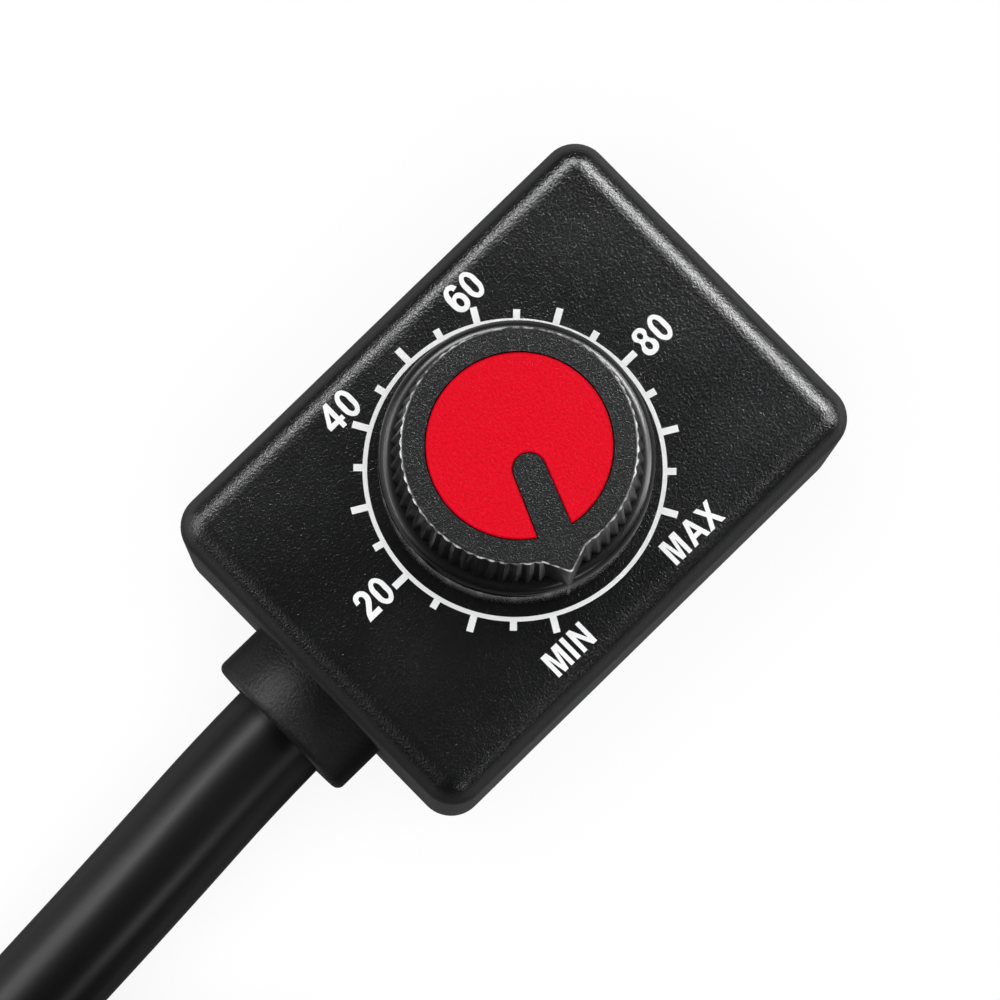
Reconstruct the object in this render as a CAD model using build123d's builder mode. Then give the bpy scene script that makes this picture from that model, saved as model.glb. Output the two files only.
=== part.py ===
from build123d import *
import os
from math import asin, cos, degrees, radians, sin, tan

# Rotary dimmer for zero to ten volt lighting: a small moulded box with a skirted pointer
# knob on a potentiometer, and a round cable that leaves one short side through a grommet.
# Millimetres. The origin is the middle of the box's underside, +Z is up, and the cable
# leaves towards -X.

# Housing, a moulded box open underneath
box_length = 35.0
box_width = 25.0
box_height = 18.0
side_wall = 1.8
roof = 2.0
corner_radius = 2.15
top_edge_radius = 1.9
cavity_corner = 0.8

# Base cover let into the housing's lower rim, with four countersunk screws
cover_thickness = 1.8
rim_lip = 0.9
cover_gap = 0.1
cover_rib_height = 1.2
cover_rib_thickness = 0.9
cover_rib_gap = 0.15
cover_rib_length = 16.0
boss_radius = 1.8
boss_inset = 1.2
pilot_depth = 7.0
screw_shank_radius = 0.8
screw_length = 7.4
screw_head_radius = 1.9
screw_gap = 0.05
screw_hole_gap = 0.3
cross_width = 0.5
cross_length = 2.2
cross_depth = 0.6
countersink_angle = 90.0

# Cable and the grommet that it leaves through
cable_diameter = 6.8
gland_height = 8.5
gland_y = -0.75
gland_bore_gap = 0.08
gland_neck_wall = 1.05
gland_hole_gap = 0.05
collar_step = 0.8
collar_length = 3.6
collar_round = 0.5
flange_step = 0.6
flange_thickness = 1.4
jacket_stub = 1.2

# Potentiometer: front plate, threaded bush, laminate wafer and drawn can
plate_thickness = 1.4
bush_radius = 3.5
bush_length = 6.5
bush_hole_gap = 0.15
bush_chamfer = 0.4
thread_fit = 0.03
locating_tab_width = 2.4
locating_tab_thickness = 1.0
locating_tab_height = 1.1
locating_tab_radius = 6.6
locating_gap = 0.15
wafer_thickness = 1.3
wafer_gap = 0.15
wafer_bore_gap = 0.6
tongue_reach = 11.0
tongue_width = 12.2
can_radius = 8.2
can_wall = 0.4
can_round = 0.7
can_floor_gap = 0.5
can_mouth_gap = 0.25
can_tab_count = 4
can_tab_start = 70.0
can_tab_width = 2.6
can_tab_fold = 1.1
can_tab_gap = 0.05

# Solder terminals and the two insulated cores
terminal_count = 3
terminal_pitch = 4.6
terminal_width = 1.9
terminal_thickness = 0.4
terminal_can_gap = 0.4
rivet_radius = 0.7
rivet_head_radius = 1.1
rivet_head_height = 0.35
rivet_inset = 1.4
lug_inset = 0.9
lug_drop = 4.4
core_diameter = 2.0
core_spread = 1.15
core_floor_gap = 0.6
sleeve_gap = 0.06
sleeve_wall = 0.35
sleeve_length = 4.0

# Shaft, rotor and contact spring
shaft_radius = 3.0
shaft_running_gap = 0.04
shaft_flat = 1.5
shaft_end_gap = 0.3
shaft_chamfer = 0.4
spigot_radius = 2.1
clip_thickness = 0.6
clip_gap = 0.12
clip_depth = 0.5
clip_radius = 4.1
clip_mouth = 3.6
rotor_radius = 6.3
rotor_thickness = 2.4
stop_overlap = 0.3
stop_wall_gap = 0.3
lug_half_width = 1.6
wiper_height = 1.0
wiper_sheet = 0.2
wiper_track_gap = 0.1
wiper_ring_width = 1.6
wiper_arm_width = 1.0
wiper_arm_radius = 4.6
wiper_arm_length = 6.0

# Nut and washer on the housing's roof
washer_radius = 5.6
washer_thickness = 0.6
nut_across_flats = 10.0
nut_thickness = 2.0
nut_chamfer = 0.4

# Knob: skirt, fluted grip, pointer nose and red cap
knob_gap = 0.4
knob_height = 13.6
skirt_radius = 8.3
skirt_height = 6.9
skirt_round = 0.75
skirt_foot_round = 0.25
grip_radius = 7.0
grip_edge = 0.16
grip_edge_drop = 0.1
flute_count = 60
flute_depth = 0.09
flute_foot_depth = 0.28
flute_width = 0.62
nose_reach = 8.05
nose_foot_reach = 8.5
nose_foot = 1.2
nose_length = 1.7
nose_half_width = 1.9
nose_tip_round = 0.22
grip_wall = 1.1
nut_room = 0.9
nut_head_room = 0.4
boss_wall = 1.3
boss_clip_gap = 0.4
boss_rib_count = 4
boss_rib_thickness = 0.9
boss_rib_start = 45.0
knob_fit = 0.03
knob_web = 1.5
cap_radius = 5.48
cap_thickness = 1.1
cap_gap = 0.08
cap_edge = 0.08
bar_start = 1.5
bar_inner_width = 1.9
bar_outer_width = 2.15
bar_gap = 0.06
peg_radius = 0.7
peg_depth = 1.0
peg_place = 3.4
peg_fit = 0.03

# Turning: angles are seen from above, counted from +X towards +Y
pointer_angle = -112.0
stop_angle = 180.0
knob_travel = 300.0
stop_margin = 1.0

# Free cable: its lead to the coil, the coil of two turns on each other, its tie and bare tails
coil_x = -65.0
coil_y = -37.7
coil_turn_radius = 35.0
jacket_end_angle = 0.0
tail_pocket_angle = 31.0
tie_angle = 200.0
tie_gap = 0.1
tie_thickness = 0.5
tie_width = 4.0
tie_head_length = 5.5
tie_head_height = 3.2
tail_diameter = 2.0
tail_end_diameter = 1.1
tail_end_length = 8.0
arc_share = 0.45

# Levels and sizes that follow
cavity_length = box_length - 2 * side_wall
cavity_width = box_width - 2 * side_wall
boss_pitch_x = cavity_length - 2 * boss_inset
boss_pitch_y = cavity_width - 2 * boss_inset
pilot_radius = screw_shank_radius + screw_gap
screw_hole_radius = screw_shank_radius + screw_hole_gap
cable_radius = cable_diameter / 2
gland_bore = cable_radius + gland_bore_gap
neck_radius = gland_bore + gland_neck_wall
collar_radius = neck_radius + collar_step
flange_radius = neck_radius + flange_step
jacket_end_x = -(cavity_length / 2 - flange_thickness - jacket_stub)

plate_top = box_height - roof
plate_bottom = plate_top - plate_thickness
bush_top = plate_top + bush_length
wafer_bottom = plate_bottom - wafer_thickness
rotor_top = wafer_bottom - wiper_height
rotor_bottom = rotor_top - rotor_thickness
can_floor = rotor_bottom - can_floor_gap
can_bottom = can_floor - can_wall
can_inside = can_radius - can_wall
can_tab_span = 360.0 - 2 * can_tab_start
shaft_bore = shaft_radius + shaft_running_gap
thread_bore = bush_radius + thread_fit
rivet_x = tongue_reach - rivet_inset
lug_x = tongue_reach + lug_inset
terminal_start = can_radius + terminal_can_gap
lug_bottom = wafer_bottom - lug_drop
core_radius = core_diameter / 2
core_low = cover_thickness + core_floor_gap + core_radius
sleeve_bore = core_radius + sleeve_gap

clip_bottom = bush_top + clip_gap
clip_top = clip_bottom + clip_thickness
groove_radius = shaft_radius - clip_depth
nut_bottom = box_height + washer_thickness
nut_top = nut_bottom + nut_thickness
nut_corner = nut_across_flats / 2 / cos(radians(30))

knob_bottom = box_height + knob_gap
knob_top = knob_bottom + knob_height
cap_bottom = knob_top - cap_thickness
bore_top = cap_bottom - knob_web
shaft_top = bore_top - shaft_end_gap
boss_bottom = clip_top + boss_clip_gap
boss_outer = shaft_radius + knob_fit + boss_wall
grip_foot_radius = skirt_radius - skirt_round
grip_inside = grip_radius - flute_depth - grip_wall
nut_room_radius = nut_corner + nut_room
nut_room_top = nut_top + nut_head_room
recess_radius = cap_radius + cap_gap

lug_reach = can_inside - stop_wall_gap
stop_inside = rotor_radius + stop_overlap
lug_half_angle = degrees(asin(lug_half_width / stop_inside))
dead_half_angle = (360.0 - knob_travel) / 2
stop_half_angle = dead_half_angle - lug_half_angle - stop_margin
stop_half_width = stop_inside * sin(radians(stop_half_angle))
rotor_lug_angle = stop_angle - dead_half_angle

coil_lift = tie_thickness + tie_gap
coil_level = coil_lift + cable_radius
coil_middle = coil_lift + cable_diameter
coil_upper_level = coil_level + cable_diameter
coil_section_height = 2 * cable_diameter
tail_radius = tail_diameter / 2
tail_drop = coil_upper_level - tail_radius

# Planes that the turning pieces, the grommet and the coil are drawn on
pointer_x = cos(radians(pointer_angle))
pointer_y = sin(radians(pointer_angle))
knob_plane = Plane(origin=(0, 0, knob_bottom), x_dir=(pointer_x, pointer_y, 0), z_dir=(0, 0, 1))
knob_side = Plane(
    origin=(0, 0, knob_bottom), x_dir=(pointer_x, pointer_y, 0), z_dir=(pointer_y, -pointer_x, 0)
)
gland_plane = Plane(
    origin=(-box_length / 2, gland_y, gland_height), x_dir=(0, 1, 0), z_dir=(-1, 0, 0)
)
coil_axis = Axis((coil_x, coil_y, 0), (0, 0, 1))
coil_section = Plane(
    origin=(coil_x + coil_turn_radius, coil_y, coil_middle), x_dir=(0, 0, 1), z_dir=(0, 1, 0)
)


def on_coil(radius, angle, level):
    """Point at a radius and an angle in degrees about the coil's axis."""
    across = radius * cos(radians(angle))
    along = radius * sin(radians(angle))
    return (coil_x + across, coil_y + along, level)


def route_radii(points):
    """Largest even arc radius for each inner corner of a cable route."""
    radii = []
    for before, here, after in zip(points, points[1:], points[2:]):
        arriving = Vector(here) - Vector(before)
        leaving = Vector(after) - Vector(here)
        half_turn = radians(arriving.get_angle(leaving)) / 2
        radii.append(arc_share * min(arriving.length, leaving.length) / tan(half_turn))
    return radii


def start_plane(points):
    """Plane across the first run of a cable route."""
    return Plane(origin=points[0], z_dir=Vector(points[1]) - Vector(points[0]))


def pointer_bar(gap, mode):
    """Draw the pointer bar's outline, grown by a gap, in the current sketch."""
    inner = bar_inner_width / 2 + gap
    outer = bar_outer_width / 2 + gap
    edge = recess_radius + bar_outer_width
    with Locations((bar_start, 0)):
        Circle(inner, mode=mode)
    Polygon(
        (bar_start, -inner),
        (edge, -outer),
        (edge, outer),
        (bar_start, inner),
        align=None,
        mode=mode,
    )


os.makedirs("parts", exist_ok=True)

# Housing: box with rounded edges, hollow from below, with bosses under its roof
with BuildPart() as housing:
    with BuildSketch():
        RectangleRounded(box_length, box_width, corner_radius)
    extrude(amount=box_height)
    fillet(housing.faces().sort_by(Axis.Z)[-1].edges(), top_edge_radius)
    with BuildSketch():
        RectangleRounded(cavity_length, cavity_width, cavity_corner)
    extrude(amount=plate_top, mode=Mode.SUBTRACT)
    with BuildSketch(Plane.XY.offset(cover_thickness)):
        with GridLocations(boss_pitch_x, boss_pitch_y, 2, 2):
            Circle(boss_radius)
    extrude(amount=plate_top - cover_thickness)
    with BuildSketch():
        RectangleRounded(box_length - 2 * rim_lip, box_width - 2 * rim_lip, corner_radius - rim_lip)
    extrude(amount=cover_thickness, mode=Mode.SUBTRACT)
    with BuildSketch(Plane.XY.offset(cover_thickness)):
        with GridLocations(boss_pitch_x, boss_pitch_y, 2, 2):
            Circle(pilot_radius)
    extrude(amount=pilot_depth, mode=Mode.SUBTRACT)
    with BuildSketch(Plane.XY.offset(plate_top)):
        Circle(bush_radius + bush_hole_gap)
    extrude(amount=roof, mode=Mode.SUBTRACT)
    with BuildSketch(Plane.XY.offset(plate_top)):
        with Locations((-locating_tab_radius, 0)):
            Rectangle(
                locating_tab_thickness + 2 * locating_gap, locating_tab_width + 2 * locating_gap
            )
    extrude(amount=locating_tab_height + locating_gap, mode=Mode.SUBTRACT)
    with BuildSketch(gland_plane):
        Circle(neck_radius + gland_hole_gap)
    extrude(amount=-side_wall, mode=Mode.SUBTRACT)
housing.part.label = "housing"
export_step(housing.part, "parts/housing.step")

# Base cover: plate with two locating ribs and countersunk screw holes
with BuildPart() as base_cover:
    with BuildSketch():
        RectangleRounded(
            box_length - 2 * (rim_lip + cover_gap),
            box_width - 2 * (rim_lip + cover_gap),
            corner_radius - rim_lip,
        )
    extrude(amount=cover_thickness)
    with BuildSketch(Plane.XY.offset(cover_thickness)):
        with GridLocations(0, cavity_width - cover_rib_thickness - 2 * cover_rib_gap, 1, 2):
            Rectangle(cover_rib_length, cover_rib_thickness)
    extrude(amount=cover_rib_height)
    with Locations(Location((0, 0, 0), (180, 0, 0))):
        with GridLocations(boss_pitch_x, boss_pitch_y, 2, 2):
            CounterSinkHole(
                screw_hole_radius,
                screw_head_radius + screw_gap,
                depth=cover_thickness,
                counter_sink_angle=countersink_angle,
            )
base_cover.part.label = "base_cover"
export_step(base_cover.part, "parts/base_cover.step")

# Cover screws: countersunk heads with a cross recess
with BuildPart() as screw:
    with BuildSketch(Plane.XZ):
        with BuildLine():
            Polyline(
                (0, 0),
                (screw_head_radius, 0),
                (screw_shank_radius, screw_head_radius - screw_shank_radius),
                (screw_shank_radius, screw_length - screw_shank_radius),
                (0, screw_length),
                close=True,
            )
        make_face()
    revolve(axis=Axis.Z)
    with BuildSketch():
        Rectangle(cross_length, cross_width)
        Rectangle(cross_width, cross_length)
    extrude(amount=cross_depth, mode=Mode.SUBTRACT)
with BuildPart() as cover_screws:
    with GridLocations(boss_pitch_x, boss_pitch_y, 2, 2):
        add(screw.part)
cover_screws.part.label = "cover_screws"
export_step(cover_screws.part, "parts/cover_screws.step")

# Grommet: collar outside, neck through the wall, flange inside
with BuildPart() as cable_gland:
    with BuildSketch(gland_plane):
        Circle(collar_radius)
    extrude(amount=collar_length)
    fillet(cable_gland.faces().sort_by(Axis.X)[0].edges(), collar_round)
    with BuildSketch(gland_plane):
        Circle(neck_radius)
    extrude(amount=-side_wall)
    with BuildSketch(gland_plane.offset(-side_wall)):
        Circle(flange_radius)
    extrude(amount=-flange_thickness)
    with BuildSketch(gland_plane.offset(collar_length)):
        Circle(gland_bore)
    extrude(amount=-(collar_length + side_wall + flange_thickness), mode=Mode.SUBTRACT)
cable_gland.part.label = "cable_gland"
export_step(cable_gland.part, "parts/cable_gland.step")

# Cable lead: from inside the housing through the grommet to the coil's outer turn
lead_route = [
    (jacket_end_x, gland_y, gland_height),
    (-22.5, gland_y, gland_height),
    (-34.0, gland_y - 0.62, 7.9),
    (-46.0, gland_y - 1.35, 5.9),
    (-57.0, gland_y - 1.85, 4.4),
    (coil_x, coil_y + coil_turn_radius, coil_level),
]
lead_radii = route_radii(lead_route)
print("lead radii", [round(radius, 1) for radius in lead_radii])
with BuildPart() as cable_lead:
    with BuildLine() as lead_path:
        FilletPolyline(*lead_route, radius=lead_radii)
    with BuildSketch(start_plane(lead_route)):
        Circle(cable_radius)
    sweep()
lead_length = lead_path.wires()[0].length
lead_section = cable_lead.part.volume / lead_length
print("lead length", round(lead_length, 2), "section", round(lead_section, 3))
cable_lead.part.label = "cable_lead"
export_step(cable_lead.part, "parts/cable_lead.step")

# Cable coil: two turns on each other, the upper one open where the bare tails come out
with BuildPart() as cable_coil:
    with BuildSketch(coil_section):
        SlotOverall(coil_section_height, cable_diameter)
    revolve(axis=coil_axis)
    with BuildSketch(Plane.XY.offset(coil_middle)):
        with BuildLine():
            pocket_radius = coil_turn_radius + cable_diameter
            pocket_start = on_coil(pocket_radius, jacket_end_angle, 0)
            pocket_end = on_coil(pocket_radius, jacket_end_angle + tail_pocket_angle, 0)
            Polyline((coil_x, coil_y), pocket_start, pocket_end, close=True)
        make_face()
    extrude(amount=cable_diameter, mode=Mode.SUBTRACT)
cable_coil.part.label = "cable_coil"
export_step(cable_coil.part, "parts/cable_coil.step")

# Tie: strap round both turns with its lock on top
tie_x = (cos(radians(tie_angle)), sin(radians(tie_angle)), 0)
tie_normal = (-sin(radians(tie_angle)), cos(radians(tie_angle)), 0)
tie_plane = Plane(
    origin=on_coil(coil_turn_radius, tie_angle, coil_middle), x_dir=(0, 0, 1), z_dir=tie_normal
)
tie_top = coil_middle + cable_diameter + tie_gap
tie_growth = 2 * (tie_gap + tie_thickness)
with BuildPart() as coil_tie:
    with BuildSketch(tie_plane):
        SlotOverall(coil_section_height + tie_growth, cable_diameter + tie_growth)
        SlotOverall(
            coil_section_height + 2 * tie_gap, cable_diameter + 2 * tie_gap, mode=Mode.SUBTRACT
        )
    extrude(amount=tie_width / 2, both=True)
    with BuildSketch(Plane(origin=on_coil(coil_turn_radius, tie_angle, tie_top), x_dir=tie_x)):
        Rectangle(tie_head_length, tie_width)
    extrude(amount=tie_head_height)
    fillet(coil_tie.faces().sort_by(Axis.Z)[-1].edges(), tie_thickness)
coil_tie.part.label = "coil_tie"
export_step(coil_tie.part, "parts/coil_tie.step")

# Bare tails: the two cores beyond the jacket's end, in a frame along the cable there, with
# points as distance along, distance inwards and height
tail_plane = Plane(
    origin=on_coil(coil_turn_radius, jacket_end_angle, coil_upper_level),
    x_dir=(-sin(radians(jacket_end_angle)), cos(radians(jacket_end_angle)), 0),
    z_dir=(0, 0, 1),
)
purple_route = [
    (0, core_spread, 0),
    (4.0, core_spread, 0),
    (8.8, core_spread + 2.8, -0.9),
    (11.6, core_spread + 9.5, -5.6),
    (11.8, core_spread + 19.0, -tail_drop),
    (9.0, core_spread + 28.0, -tail_drop),
]
grey_route = [
    (0, -core_spread, 0),
    (4.5, -core_spread, 0),
    (10.2, -core_spread + 3.2, -0.2),
    (14.6, -core_spread + 11.2, -3.6),
    (16.8, -core_spread + 20.0, -tail_drop),
    (20.8, -core_spread + 28.0, -tail_drop),
]
tail_routes = {"tail_purple": purple_route, "tail_grey": grey_route}
tail_tips = []
for tail_name, tail_points in tail_routes.items():
    tail_route = [tuple(tail_plane.from_local_coords(point)) for point in tail_points]
    tail_radii = route_radii(tail_route)
    print(tail_name, "radii", [round(radius, 1) for radius in tail_radii])
    with BuildPart() as tail:
        with BuildLine():
            FilletPolyline(*tail_route, radius=tail_radii)
        with BuildSketch(start_plane(tail_route)):
            Circle(tail_radius)
        sweep()
    tail.part.label = tail_name
    export_step(tail.part, "parts/" + tail_name + ".step")
    tip_run = Vector(tail_route[-1]) - Vector(tail_route[-2])
    tail_tips.append(Plane(origin=tail_route[-1], z_dir=tip_run))

# Tinned conductors of the two tails
with BuildPart() as tail_ends:
    with BuildSketch(*tail_tips):
        Circle(tail_end_diameter / 2)
    extrude(amount=tail_end_length)
tail_ends.part.label = "tail_ends"
export_step(tail_ends.part, "parts/tail_ends.step")

# Potentiometer front: plate with pockets for the can's tabs, threaded bush, locating tab
with BuildPart() as pot_bush:
    with BuildSketch(Plane.XY.offset(plate_bottom)):
        Circle(can_radius)
    extrude(amount=plate_thickness)
    with BuildSketch(Plane.XY.offset(plate_top)):
        Circle(bush_radius)
    extrude(amount=bush_length)
    chamfer(pot_bush.faces().sort_by(Axis.Z)[-1].edges(), bush_chamfer)
    with BuildSketch(Plane.XY.offset(plate_top)):
        with Locations((-locating_tab_radius, 0)):
            Rectangle(locating_tab_thickness, locating_tab_width)
    extrude(amount=locating_tab_height)
    with BuildSketch(Plane.XY.offset(plate_bottom)):
        Circle(shaft_bore)
    extrude(amount=plate_thickness + bush_length, mode=Mode.SUBTRACT)
    with BuildSketch(Plane.XY.offset(plate_bottom)):
        with PolarLocations(can_radius, can_tab_count, can_tab_start, can_tab_span, endpoint=True):
            Rectangle(2 * (can_wall + can_tab_gap), can_tab_width + 2 * can_tab_gap)
    extrude(amount=plate_thickness, mode=Mode.SUBTRACT)
    with BuildSketch(Plane.XY.offset(plate_top)):
        with PolarLocations(can_radius, can_tab_count, can_tab_start, can_tab_span, endpoint=True):
            Rectangle(
                2 * (can_wall + can_tab_fold + can_tab_gap), can_tab_width + 2 * can_tab_gap
            )
    extrude(amount=-(can_wall + can_tab_gap), mode=Mode.SUBTRACT)
pot_bush.part.label = "pot_bush"
export_step(pot_bush.part, "parts/pot_bush.step")

# Washer and hexagon nut on the housing's roof
with BuildPart() as pot_washer:
    with BuildSketch(Plane.XY.offset(box_height)):
        Circle(washer_radius)
        Circle(bush_radius + bush_hole_gap, mode=Mode.SUBTRACT)
    extrude(amount=washer_thickness)
pot_washer.part.label = "pot_washer"
export_step(pot_washer.part, "parts/pot_washer.step")

with BuildPart() as pot_nut:
    with BuildSketch(Plane.XY.offset(nut_bottom)):
        RegularPolygon(nut_across_flats / 2, 6, major_radius=False)
    extrude(amount=nut_thickness)
    with BuildSketch(Plane.XZ):
        with BuildLine():
            Polyline(
                (thread_bore, nut_bottom),
                (nut_corner, nut_bottom),
                (nut_corner, nut_top - nut_chamfer),
                (nut_corner - 2 * nut_chamfer, nut_top),
                (thread_bore, nut_top),
                close=True,
            )
        make_face()
    revolve(axis=Axis.Z, mode=Mode.INTERSECT)
pot_nut.part.label = "pot_nut"
export_step(pot_nut.part, "parts/pot_nut.step")

# Laminate wafer with its tongue
with BuildPart() as pot_wafer:
    with BuildSketch(Plane.XY.offset(wafer_bottom)):
        Circle(can_inside - wafer_gap)
        with Locations((tongue_reach / 2, 0)):
            Rectangle(tongue_reach, tongue_width)
        Circle(shaft_radius + wafer_bore_gap, mode=Mode.SUBTRACT)
        with Locations((rivet_x, 0)):
            with GridLocations(0, terminal_pitch, 1, terminal_count):
                Circle(rivet_radius, mode=Mode.SUBTRACT)
    extrude(amount=wafer_thickness)
pot_wafer.part.label = "pot_wafer"
export_step(pot_wafer.part, "parts/pot_wafer.step")

# Terminals: strip under the tongue, lug bent down, rivet through the tongue
with BuildPart() as pot_terminals:
    with BuildSketch(Plane.XY.offset(wafer_bottom)):
        with Locations(((terminal_start + lug_x) / 2, 0)):
            with GridLocations(0, terminal_pitch, 1, terminal_count):
                Rectangle(lug_x - terminal_start, terminal_width)
    extrude(amount=-terminal_thickness)
    with BuildSketch(Plane.XY.offset(wafer_bottom)):
        with Locations((lug_x - terminal_thickness / 2, 0)):
            with GridLocations(0, terminal_pitch, 1, terminal_count):
                Rectangle(terminal_thickness, terminal_width)
    extrude(amount=-lug_drop)
    with BuildSketch(Plane.XY.offset(wafer_bottom)):
        with Locations((rivet_x, 0)):
            with GridLocations(0, terminal_pitch, 1, terminal_count):
                Circle(rivet_radius)
    extrude(amount=wafer_thickness)
    with BuildSketch(Plane.XY.offset(plate_bottom)):
        with Locations((rivet_x, 0)):
            with GridLocations(0, terminal_pitch, 1, terminal_count):
                Circle(rivet_head_radius)
    extrude(amount=rivet_head_height)
pot_terminals.part.label = "pot_terminals"
export_step(pot_terminals.part, "parts/pot_terminals.step")

# Can: drawn cup with a mouth for the tongue, a turning stop and four folded tabs
mouth_floor = wafer_bottom - terminal_thickness - can_mouth_gap
with BuildPart() as pot_can:
    with BuildSketch(Plane.XY.offset(can_bottom)):
        Circle(can_radius)
    extrude(amount=plate_bottom - can_bottom)
    fillet(pot_can.faces().sort_by(Axis.Z)[0].edges(), can_round)
    with BuildSketch(Plane.XY.offset(can_floor)):
        Circle(can_inside)
    extrude(amount=plate_bottom - can_floor, mode=Mode.SUBTRACT)
    with BuildSketch(Plane.XY.offset(mouth_floor)):
        with Locations((can_radius, 0)):
            Rectangle(2 * can_radius, tongue_width + 2 * can_mouth_gap)
    extrude(amount=plate_bottom - mouth_floor, mode=Mode.SUBTRACT)
    with BuildSketch(Plane.XY.offset(can_floor)):
        with PolarLocations((stop_inside + can_radius) / 2, 1, start_angle=stop_angle):
            Rectangle(can_radius - stop_inside, 2 * stop_half_width)
        Circle(can_radius - can_wall / 2, mode=Mode.INTERSECT)
    extrude(amount=rotor_top - can_floor)
    with BuildSketch(Plane.XY.offset(plate_bottom)):
        with PolarLocations(can_radius, can_tab_count, can_tab_start, can_tab_span, endpoint=True):
            Rectangle(2 * can_wall, can_tab_width)
        Circle(can_radius, mode=Mode.INTERSECT)
        Circle(can_inside, mode=Mode.SUBTRACT)
    extrude(amount=plate_thickness - can_tab_gap)
    with BuildSketch(Plane.XY.offset(plate_top - can_tab_gap)):
        with PolarLocations(can_radius, can_tab_count, can_tab_start, can_tab_span, endpoint=True):
            Rectangle(2 * (can_wall + can_tab_fold), can_tab_width)
        Circle(can_radius, mode=Mode.INTERSECT)
    extrude(amount=-can_wall)
pot_can.part.label = "pot_can"
export_step(pot_can.part, "parts/pot_can.step")

# Shaft: spigot in the rotor, clip groove above the bush, flat for the knob
with BuildPart() as pot_shaft:
    with BuildSketch(Plane.XZ):
        with BuildLine():
            Polyline(
                (0, rotor_bottom),
                (spigot_radius, rotor_bottom),
                (spigot_radius, rotor_top),
                (shaft_radius, rotor_top),
                (shaft_radius, clip_bottom),
                (groove_radius, clip_bottom),
                (groove_radius, clip_top),
                (shaft_radius, clip_top),
                (shaft_radius, shaft_top - shaft_chamfer),
                (shaft_radius - shaft_chamfer, shaft_top),
                (0, shaft_top),
                close=True,
            )
        make_face()
    revolve(axis=Axis.Z)
    with BuildSketch(knob_plane.offset(boss_bottom - knob_bottom)):
        with Locations((shaft_radius + shaft_flat, 0)):
            Rectangle(2 * shaft_radius, 2 * shaft_radius)
    extrude(amount=shaft_top - boss_bottom, mode=Mode.SUBTRACT)
pot_shaft.part.label = "pot_shaft"
export_step(pot_shaft.part, "parts/pot_shaft.step")

# Spring clip in the shaft's groove
with BuildPart() as shaft_clip:
    with BuildSketch(knob_plane.offset(clip_bottom - knob_bottom)):
        Circle(clip_radius)
        Circle(groove_radius, mode=Mode.SUBTRACT)
        with Locations((clip_radius, 0)):
            Rectangle(2 * clip_radius, clip_mouth, mode=Mode.SUBTRACT)
    extrude(amount=clip_thickness)
shaft_clip.part.label = "shaft_clip"
export_step(shaft_clip.part, "parts/shaft_clip.step")

# Rotor: disc pressed on the spigot, with the lug that meets the can's stop
with BuildPart() as pot_rotor:
    with BuildSketch(Plane.XY.offset(rotor_bottom)):
        Circle(rotor_radius)
        with PolarLocations(lug_reach / 2, 1, start_angle=rotor_lug_angle):
            Rectangle(lug_reach, 2 * lug_half_width)
        Circle(spigot_radius, mode=Mode.SUBTRACT)
    extrude(amount=rotor_thickness)
pot_rotor.part.label = "pot_rotor"
export_step(pot_rotor.part, "parts/pot_rotor.step")

# Contact spring: ring on the rotor with two rising arms
arm_start = -wiper_arm_length / 2
arm_end = wiper_arm_length / 2
arm_top = wafer_bottom - wiper_track_gap
wiper_outside = wiper_arm_radius + wiper_arm_width / 2
with BuildPart() as pot_wiper:
    with BuildSketch(Plane.XY.offset(rotor_top)):
        Circle(wiper_outside)
        Circle(wiper_outside - wiper_ring_width, mode=Mode.SUBTRACT)
    extrude(amount=wiper_sheet)
    with BuildSketch(Plane.XZ.offset(wiper_arm_radius), Plane.XZ.offset(-wiper_arm_radius)):
        with BuildLine():
            Polyline(
                (arm_start, rotor_top),
                (arm_end, arm_top - wiper_sheet),
                (arm_end, arm_top),
                (arm_start, rotor_top + wiper_sheet),
                close=True,
            )
        make_face()
    extrude(amount=wiper_arm_width / 2, both=True)
pot_wiper.part.label = "pot_wiper"
export_step(pot_wiper.part, "parts/pot_wiper.step")

# Insulated cores from the jacket's end, under the can and up to two of the lugs
lug_middle = lug_x - terminal_thickness / 2
grey_y = -terminal_pitch
core_routes = {
    "core_purple": [
        (jacket_end_x, gland_y + core_spread, gland_height),
        (jacket_end_x + 1.8, gland_y + core_spread, gland_height),
        (jacket_end_x + 6.0, gland_y + core_spread + 0.5, core_low + 1.0),
        (0, core_spread, core_low),
        (lug_middle, 0, core_low),
        (lug_middle, 0, lug_bottom),
    ],
    "core_grey": [
        (jacket_end_x, gland_y - core_spread, gland_height),
        (jacket_end_x + 1.8, gland_y - core_spread, gland_height),
        (jacket_end_x + 6.0, gland_y - core_spread - 0.6, core_low + 1.0),
        (0, gland_y - core_spread - 1.2, core_low),
        (lug_middle, grey_y, core_low),
        (lug_middle, grey_y, lug_bottom),
    ],
}
for core_name, core_route in core_routes.items():
    core_radii = route_radii(core_route)
    print(core_name, "radii", [round(radius, 1) for radius in core_radii])
    with BuildPart() as core:
        with BuildLine():
            FilletPolyline(*core_route, radius=core_radii)
        with BuildSketch(start_plane(core_route)):
            Circle(core_radius)
        sweep()
    core.part.label = core_name
    export_step(core.part, "parts/" + core_name + ".step")

# Shrink sleeves over the two soldered lugs
with BuildPart() as solder_sleeves:
    with BuildSketch(Plane.XY.offset(lug_bottom - sleeve_length / 2)):
        with Locations((lug_middle, 0), (lug_middle, grey_y)):
            Circle(sleeve_bore + sleeve_wall)
            Circle(sleeve_bore, mode=Mode.SUBTRACT)
    extrude(amount=sleeve_length)
solder_sleeves.part.label = "solder_sleeves"
export_step(solder_sleeves.part, "parts/solder_sleeves.step")

# Knob: turned form, V flutes round the grip, pointer nose, recess round the pointer bar,
# hollow underneath with a ribbed boss that takes the shaft's flat end
ceiling = bore_top - knob_bottom
room_top = nut_room_top - knob_bottom
room_step = nut_room_radius - grip_inside
boss_level = boss_bottom - knob_bottom


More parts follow.
